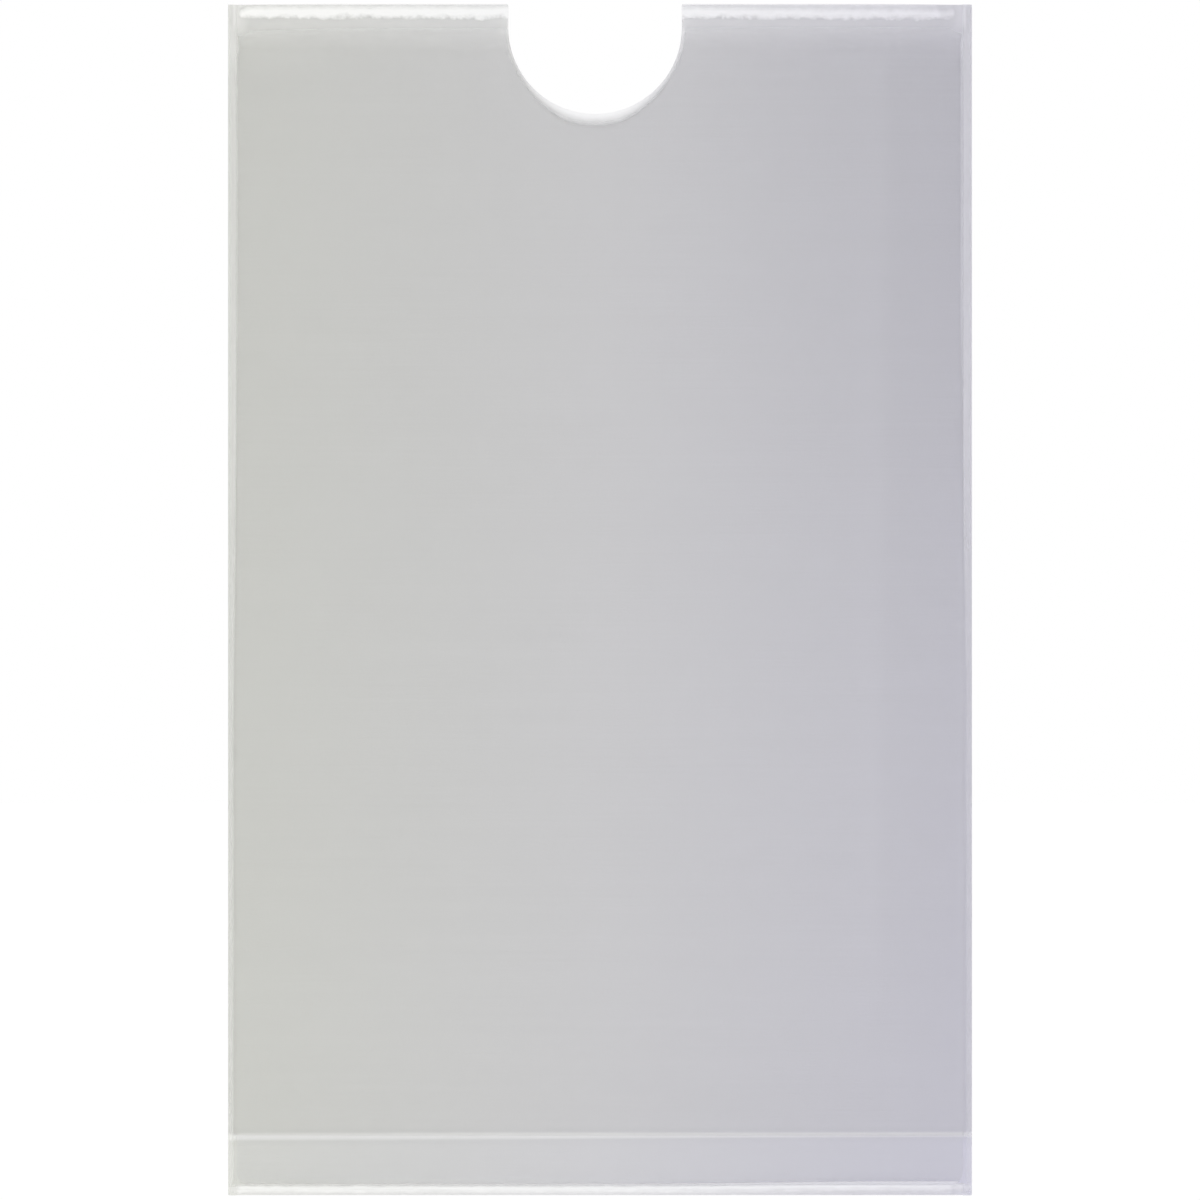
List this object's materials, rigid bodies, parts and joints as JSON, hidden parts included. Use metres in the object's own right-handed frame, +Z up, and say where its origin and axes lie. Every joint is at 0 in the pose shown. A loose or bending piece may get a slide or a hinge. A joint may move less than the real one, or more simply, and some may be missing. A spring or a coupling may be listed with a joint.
{
  "type": "self-adhesive card pocket",
  "caption": "Flat clear film pocket for a card, open at its short top edge with a thumb notch, fused along three edges, with an adhesive back under a peel-off liner and lift tab.",
  "frame": {"origin": "middle of the pocket's outline, on the plane where the adhesive meets the liner", "axes": "+Z up along the pocket to its open edge, +Y out of the adhesive face, -Y the front that shows the card, +X to the right seen from the front"},
  "size_m": [0.06, 0.0014, 0.096],
  "materials": {
    "clear_film": "clear calendered film, glossy, faintly grey",
    "fused_film": "melted and whitened film edge, glossy",
    "clear_adhesive": "clear pressure-sensitive adhesive, faintly warm",
    "liner_film": "siliconised translucent grey film, satin"
  },
  "bodies": {
    "pocket": {"front_panel": "clear_film", "back_panel": "clear_film", "left_side_weld": "fused_film", "right_side_weld": "fused_film", "bottom_weld": "fused_film", "adhesive_layer": "clear_adhesive"},
    "liner": {"release_liner": "liner_film"},
    "tab": {"finger_lift_tab": "liner_film"}
  },
  "joints": [
    {"name": "liner_peel", "type": "hinge", "parent": "pocket", "child": "liner", "pos_m": [0, 0, 0.048], "axis": [1, 0, 0], "range_deg": [0, 150]},
    {"name": "tab_fold", "type": "hinge", "parent": "liner", "child": "tab", "pos_m": [0, 0.0001, -0.0432], "axis": [1, 0, 0], "range_deg": [0, 150]}
  ]
}
